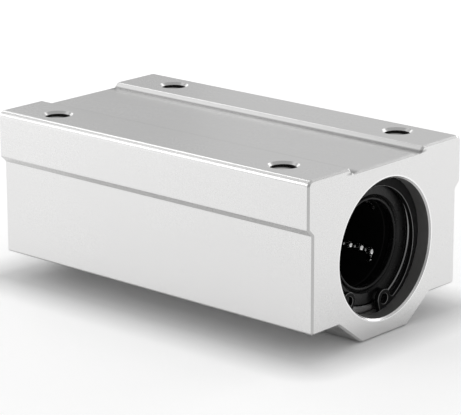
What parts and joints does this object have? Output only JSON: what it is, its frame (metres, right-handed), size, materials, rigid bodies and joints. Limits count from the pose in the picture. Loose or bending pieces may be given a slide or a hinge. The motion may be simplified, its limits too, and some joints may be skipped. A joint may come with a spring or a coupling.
{
  "type": "linear bearing block",
  "caption": "Long aluminium housing block with recirculating ball bushings in a through bore, held by internal circlips, and threaded holes in its flanged mounting face.",
  "frame": {"origin": "middle of the bore axis, halfway between the two end faces", "axes": "+X along the bore, +Z normal to the mounting face; the block rests on its narrow bottom flat, 20 mm below the origin"},
  "size_m": [0.096, 0.054, 0.041],
  "materials": {
    "anodised_aluminium": "satin clear anodised",
    "bearing_steel": "ground",
    "ball_steel": "polished",
    "spring_steel": "satin",
    "circlip_black_steel": "black phosphated and oiled",
    "cage_plastic": "moulded black",
    "seal_rubber": "satin black"
  },
  "bodies": {
    "root": {"housing_block": "anodised_aluminium", "spacer_ring": "bearing_steel", "circlip_front": "circlip_black_steel", "circlip_rear": "circlip_black_steel", "front_bushing_sleeve": "bearing_steel", "front_bushing_cage": "cage_plastic", "front_bushing_seal_outer": "seal_rubber", "front_bushing_seal_inner": "seal_rubber", "front_bushing_snap_ring_outer": "spring_steel", "front_bushing_snap_ring_inner": "spring_steel", "front_bushing_balls_1": "ball_steel", "front_bushing_balls_2": "ball_steel", "front_bushing_balls_3": "ball_steel", "front_bushing_balls_4": "ball_steel", "front_bushing_balls_5": "ball_steel", "rear_bushing_sleeve": "bearing_steel", "rear_bushing_cage": "cage_plastic", "rear_bushing_seal_outer": "seal_rubber", "rear_bushing_seal_inner": "seal_rubber", "rear_bushing_snap_ring_outer": "spring_steel", "rear_bushing_snap_ring_inner": "spring_steel", "rear_bushing_balls_1": "ball_steel", "rear_bushing_balls_2": "ball_steel", "rear_bushing_balls_3": "ball_steel", "rear_bushing_balls_4": "ball_steel", "rear_bushing_balls_5": "ball_steel"}
  },
  "joints": []
}
